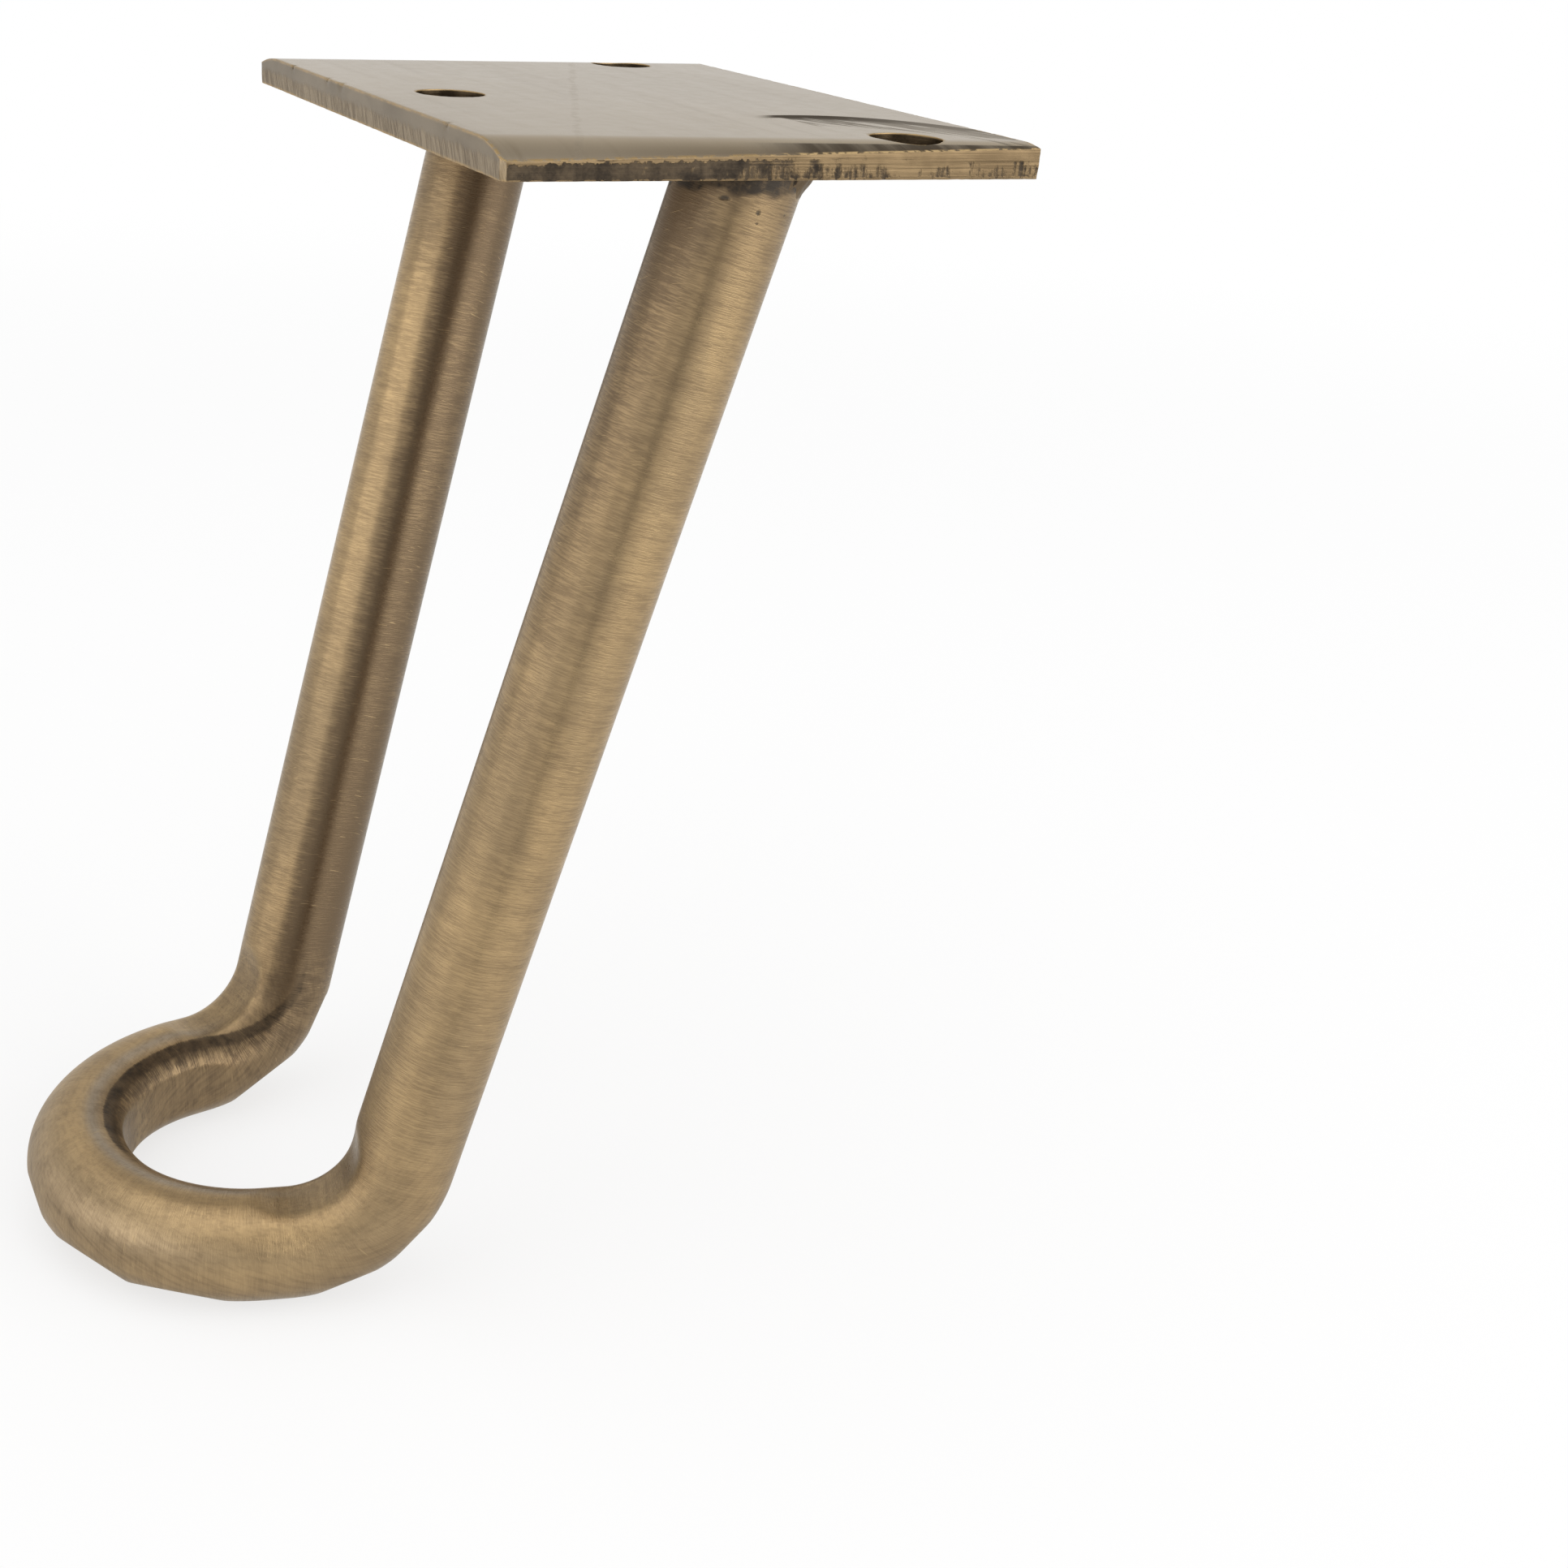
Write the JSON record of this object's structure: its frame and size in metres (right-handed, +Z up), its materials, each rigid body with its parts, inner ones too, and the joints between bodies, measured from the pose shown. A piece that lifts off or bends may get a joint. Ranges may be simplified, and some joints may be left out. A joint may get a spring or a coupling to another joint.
{
  "type": "hairpin table leg",
  "caption": "Short furniture leg: a round bar bent into a kicked hairpin foot and welded under a flat mounting plate with plain screw holes.",
  "frame": {"origin": "centre of the plate's mounting face, the flat top that goes against the underside of the furniture", "axes": "+Z up out of the mounting face; +X from the plate's outer edge over the foot to its inner edge, so the foot kicks out towards -X; +Y along the plate from front to back, across the two uprights"},
  "size_m": [0.0927, 0.076, 0.126],
  "materials": {
    "polished_brass": "antique brass, smooth",
    "brushed_brass": "antique brass, brushed satin",
    "weld": "antique brass, dark"
  },
  "bodies": {
    "root": {"mounting_plate": "polished_brass", "bent_rod": "brushed_brass", "near_weld": "weld", "far_weld": "weld"}
  },
  "joints": []
}
